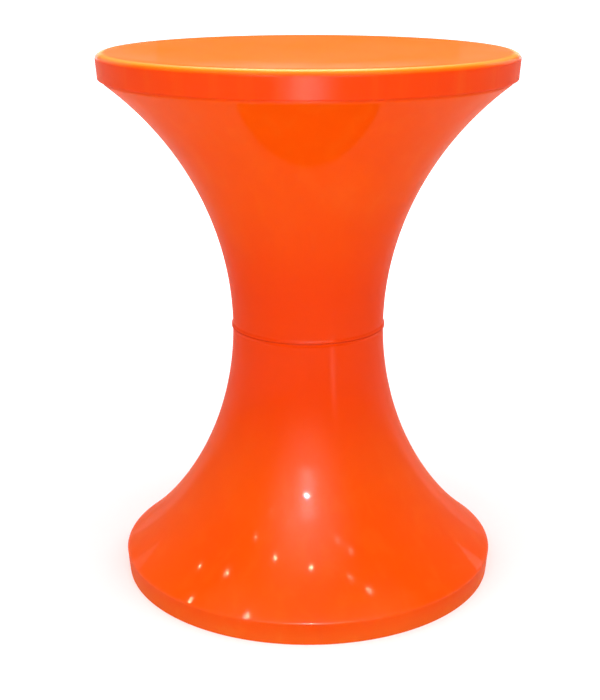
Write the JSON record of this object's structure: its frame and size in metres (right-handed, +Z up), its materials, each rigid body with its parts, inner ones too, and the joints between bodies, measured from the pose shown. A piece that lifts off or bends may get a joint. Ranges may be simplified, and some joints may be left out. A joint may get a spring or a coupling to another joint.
{
  "type": "storage stool",
  "caption": "Round hourglass stool of moulded plastic: two trumpet-shaped halves locked at the waist and a lift-off dished seat over a storage compartment.",
  "frame": {"origin": "centre of the foot rim, on the floor plane", "axes": "+Z up along the axis that the stool is round about; +X and +Y across the seat"},
  "size_m": [0.331, 0.331, 0.44],
  "materials": {
    "seat_plastic": "satin, lightly scuffed by use",
    "body_plastic": "gloss, as moulded"
  },
  "bodies": {
    "lower": {"lower_body": "body_plastic"},
    "upper": {"upper_body": "body_plastic"},
    "seat": {"seat": "seat_plastic"}
  },
  "joints": [
    {"name": "halves_twist", "type": "hinge", "parent": "lower", "child": "upper", "pos_m": [0, 0, 0.2185], "axis": [0, 0, 1], "range_deg": [0, 20]},
    {"name": "seat_lift", "type": "slide", "parent": "upper", "child": "seat", "axis": [0, 0, 1], "range_m": [0, 0.2]}
  ]
}
